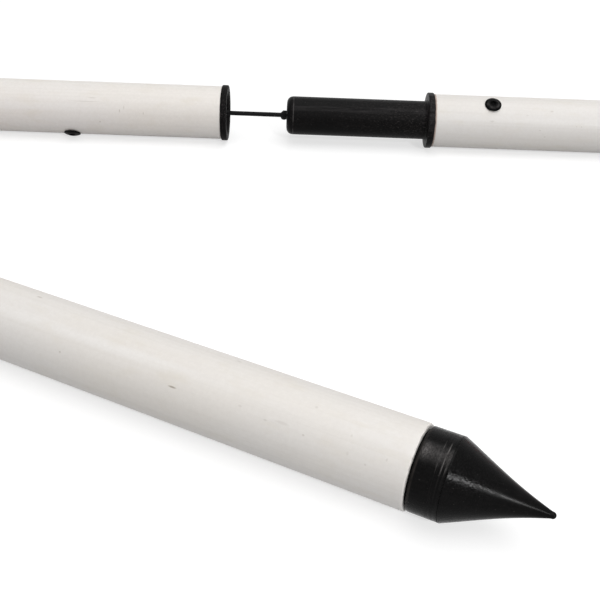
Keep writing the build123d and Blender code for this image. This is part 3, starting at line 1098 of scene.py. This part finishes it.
def lower_cord():
    """Cord that leans on the rim of the folded joint's mouth and crosses to the lower section."""
    hole = joint_point("cord_lean_swing")
    knuckle = joint_point("cord_rim_bend")
    in_knot = joint_point("lower_twist")
    to_hole = (hole - knuckle).normalized()
    to_knot = (in_knot - knuckle).normalized()
    turn_reach = RIM_TURN * MM
    points = smooth_route([
        hole,
        hole.lerp(knuckle, 0.5),
        knuckle + to_hole * turn_reach * 2,
        knuckle + to_hole * turn_reach * 0.3,
        knuckle + to_knot * turn_reach * 0.3,
        knuckle + to_knot * turn_reach * 2,
        in_knot,
    ])
    piece = sweep("lower_cord_braid", points, braid, CORD_SIDES)
    piece.data.materials.append(SHOCK_CORD)
    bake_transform(piece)
    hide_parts("lower_cord_lean", "lower_cord_link")


def knot(node, body, centre, line):
    """Tight overhand knot that stops the cord at the plug's face."""
    reach = KNOT_R - KNOT_CORD_R
    points = []
    for k in range(KNOT_STEPS):
        t = 2 * pi * k / KNOT_STEPS
        across = Vector((sin(t) + 2 * sin(2 * t), cos(t) - 2 * cos(2 * t))) / 3
        along = -sin(3 * t) * KNOT_HALF_LENGTH
        place = line.side * across.x * reach + line.up * across.y * reach + line.along * along
        points.append(centre + place * MM)
    piece = sweep(f"{node}_knot", points, lambda run, angle: KNOT_CORD_R, KNOT_SIDES, closed=True)
    place_piece(piece, body, SHOCK_CORD, "cord_stop", node)


def knot_neck(node, body, centre, to_cord):
    """Strands inside the knot, drawn in towards the cord."""
    ball = []
    for k in range(NECK_STEPS + 1):
        lean = radians(NECK_SWEEP) * k / NECK_STEPS
        ball.append((KNOT_NECK * sin(lean), NECK_R * cos(lean)))
    outline = [(0, 0), *ball, (NECK_CUFF, NECK_CUFF_R), (NECK_END, NECK_END_R), (NECK_END, 0)]

    def strands(station, radius, angle):
        return station, radius * (1 + NECK_RELIEF * cos(NECK_STRANDS * angle + NECK_TWIST * station))

    neck = lathe(f"{node}_neck", Line(centre, to_cord), outline, strands, NECK_SEGMENTS)
    neck.data.materials.append(SHOCK_CORD)
    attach(neck, body)


# Assembly

MIDDLE_START, MIDDLE_END = UPPER_LINE.span("middle_tube")
UPPER_MOUTH = UPPER_LINE.reversed_at(MIDDLE_END + FLANGE_T)
LOWER_MOUTH = UPPER_LINE.from_station(MIDDLE_START - FLANGE_T)
UPPER_KNOT = joint_point("upper_twist")
LOWER_KNOT = joint_point("lower_twist")

for section, line in (("middle", UPPER_LINE), ("upper", UPPER_LINE), ("lower", LOWER_LINE)):
    tube(f"{section}_tube", line, f"{section}_section")
    band(f"{section}_band", line, f"{section}_section")

socket("upper_socket", UPPER_MOUTH, "middle_section")
socket("lower_socket", LOWER_MOUTH, "middle_section")
plug("upper_plug", UPPER_LINE, "upper_section")
plug("lower_plug", LOWER_LINE, "lower_section")
point_tip(LOWER_LINE)
top_cap(UPPER_LINE)
screw("lower_socket_screw", UPPER_LINE, SCREW_UP, "middle_section")
screw("upper_socket_screw", UPPER_LINE, SCREW_DOWN, "middle_section")
screw("upper_plug_screw", UPPER_LINE, SCREW_UP, "upper_section")
screw("lower_plug_screw", LOWER_LINE, SCREW_UP, "lower_section")
upper_cord()
lower_cord()
knot("upper_cord_bead", "upper_stop", UPPER_KNOT, UPPER_LINE)
knot_neck("upper_cord_bead", "upper_stop", UPPER_KNOT, -UPPER_LINE.along)
knot("lower_cord_bead", "lower_stop", LOWER_KNOT, LOWER_LINE)
knot_neck("lower_cord_bead", "lower_stop", LOWER_KNOT, joint_point("cord_rim_bend") - LOWER_KNOT)

# CAD pieces inside the pole that keep their own meshes
CARRIED_OVER = {
    "cord_core": SHOCK_CORD,
    "upper_cord_tail": SHOCK_CORD,
    "lower_cord_tail": SHOCK_CORD,
    "upper_cord_washer": ZINC,
    "lower_cord_washer": ZINC,
    "upper_cord_ferrule": ALUMINIUM,
    "lower_cord_ferrule": ALUMINIUM,
}
for node, material in CARRIED_OVER.items():
    for slot in frame["nodes"][node].material_slots:
        slot.material = material


# Floor, light and camera

def pale_floor():
    """Large pale floor with the object's soft shadow. Its glow makes up what the lamps leave to white,
    so it grows where the key light falls off."""
    near, far = -FLOOR_HALF, FLOOR_HALF
    mesh = bpy.data.meshes.new("floor")
    mesh.from_pydata([(near, near, 0), (far, near, 0), (far, far, 0), (near, far, 0)], [], [(0, 1, 2, 3)])
    floor = bpy.data.objects.new("floor", mesh)
    bpy.context.scene.collection.objects.link(floor)
    m = Nodes("pale_floor")
    m.set(Base_Color=colour(FLOOR_GREY, FLOOR_GREY, FLOOR_GREY), Roughness=1.0, Specular_IOR_Level=0.0)
    reach = m.length(m.own((1, 1, 1)))
    spread = m.math("ADD", m.math("POWER", m.math("DIVIDE", reach, KEY_HEIGHT), 2.0), 1.0)
    from_fill = FLOOR_GREY * FILL
    from_key = m.math("DIVIDE", FLOOR_LIT - from_fill, m.math("POWER", spread, 2.0))
    glow = m.math("SUBTRACT", 1.0 - from_fill, from_key)
    m.set(Emission_Color=WHITE, Emission_Strength=m.product(m.looked_at(), glow))
    mesh.materials.append(m.material)


def area_lamp(name, place, target, size, power):
    lamp = bpy.data.lights.new(name, "AREA")
    lamp.shape = "RECTANGLE"
    lamp.size, lamp.size_y = size
    lamp.energy = power
    holder = bpy.data.objects.new(name, lamp)
    holder.location = place
    holder.rotation_euler = (Vector(target) - Vector(place)).to_track_quat("-Z", "Y").to_euler()
    bpy.context.scene.collection.objects.link(holder)


def studio_light():
    """A large soft key above the object, a small lamp behind the viewer's right shoulder for the shine on
    the cone, and even fill."""
    world = bpy.data.worlds.new("studio")
    bpy.context.scene.world = world
    world.use_nodes = True
    surround = Nodes(tree=world.node_tree)
    background = world.node_tree.nodes["Background"]
    surround.put(background.inputs["Color"], WHITE)
    strength = surround.ramp(surround.looked_at(), 0.0, 1.0, FILL, 1.0)
    surround.put(background.inputs["Strength"], strength)
    area_lamp("key", KEY_PLACE, KEY_TARGET, KEY_SIZE, KEY_POWER)
    area_lamp("glint", GLINT_PLACE, GLINT_TARGET, GLINT_SIZE, GLINT_POWER)


def photo_camera():
    """Camera at the photograph's viewing angle."""
    data = bpy.data.cameras.new("camera")
    data.sensor_width = SENSOR_WIDTH
    data.lens = FOCAL_LENGTH * SENSOR_WIDTH / IMAGE_WIDTH
    data.clip_start = CLIP_START
    camera = bpy.data.objects.new("camera", data)
    heading = Matrix.Rotation(-radians(YAW), 4, "Z")
    tilt = Matrix.Rotation(pi / 2 - radians(PITCH), 4, "X")
    lean = Matrix.Rotation(radians(ROLL), 4, "Z")
    camera.matrix_world = Matrix.Translation(EYE) @ heading @ tilt @ lean
    bpy.context.scene.collection.objects.link(camera)
    bpy.context.scene.camera = camera


pale_floor()
studio_light()
photo_camera()
bpy.context.scene.view_settings.view_transform = "Standard"
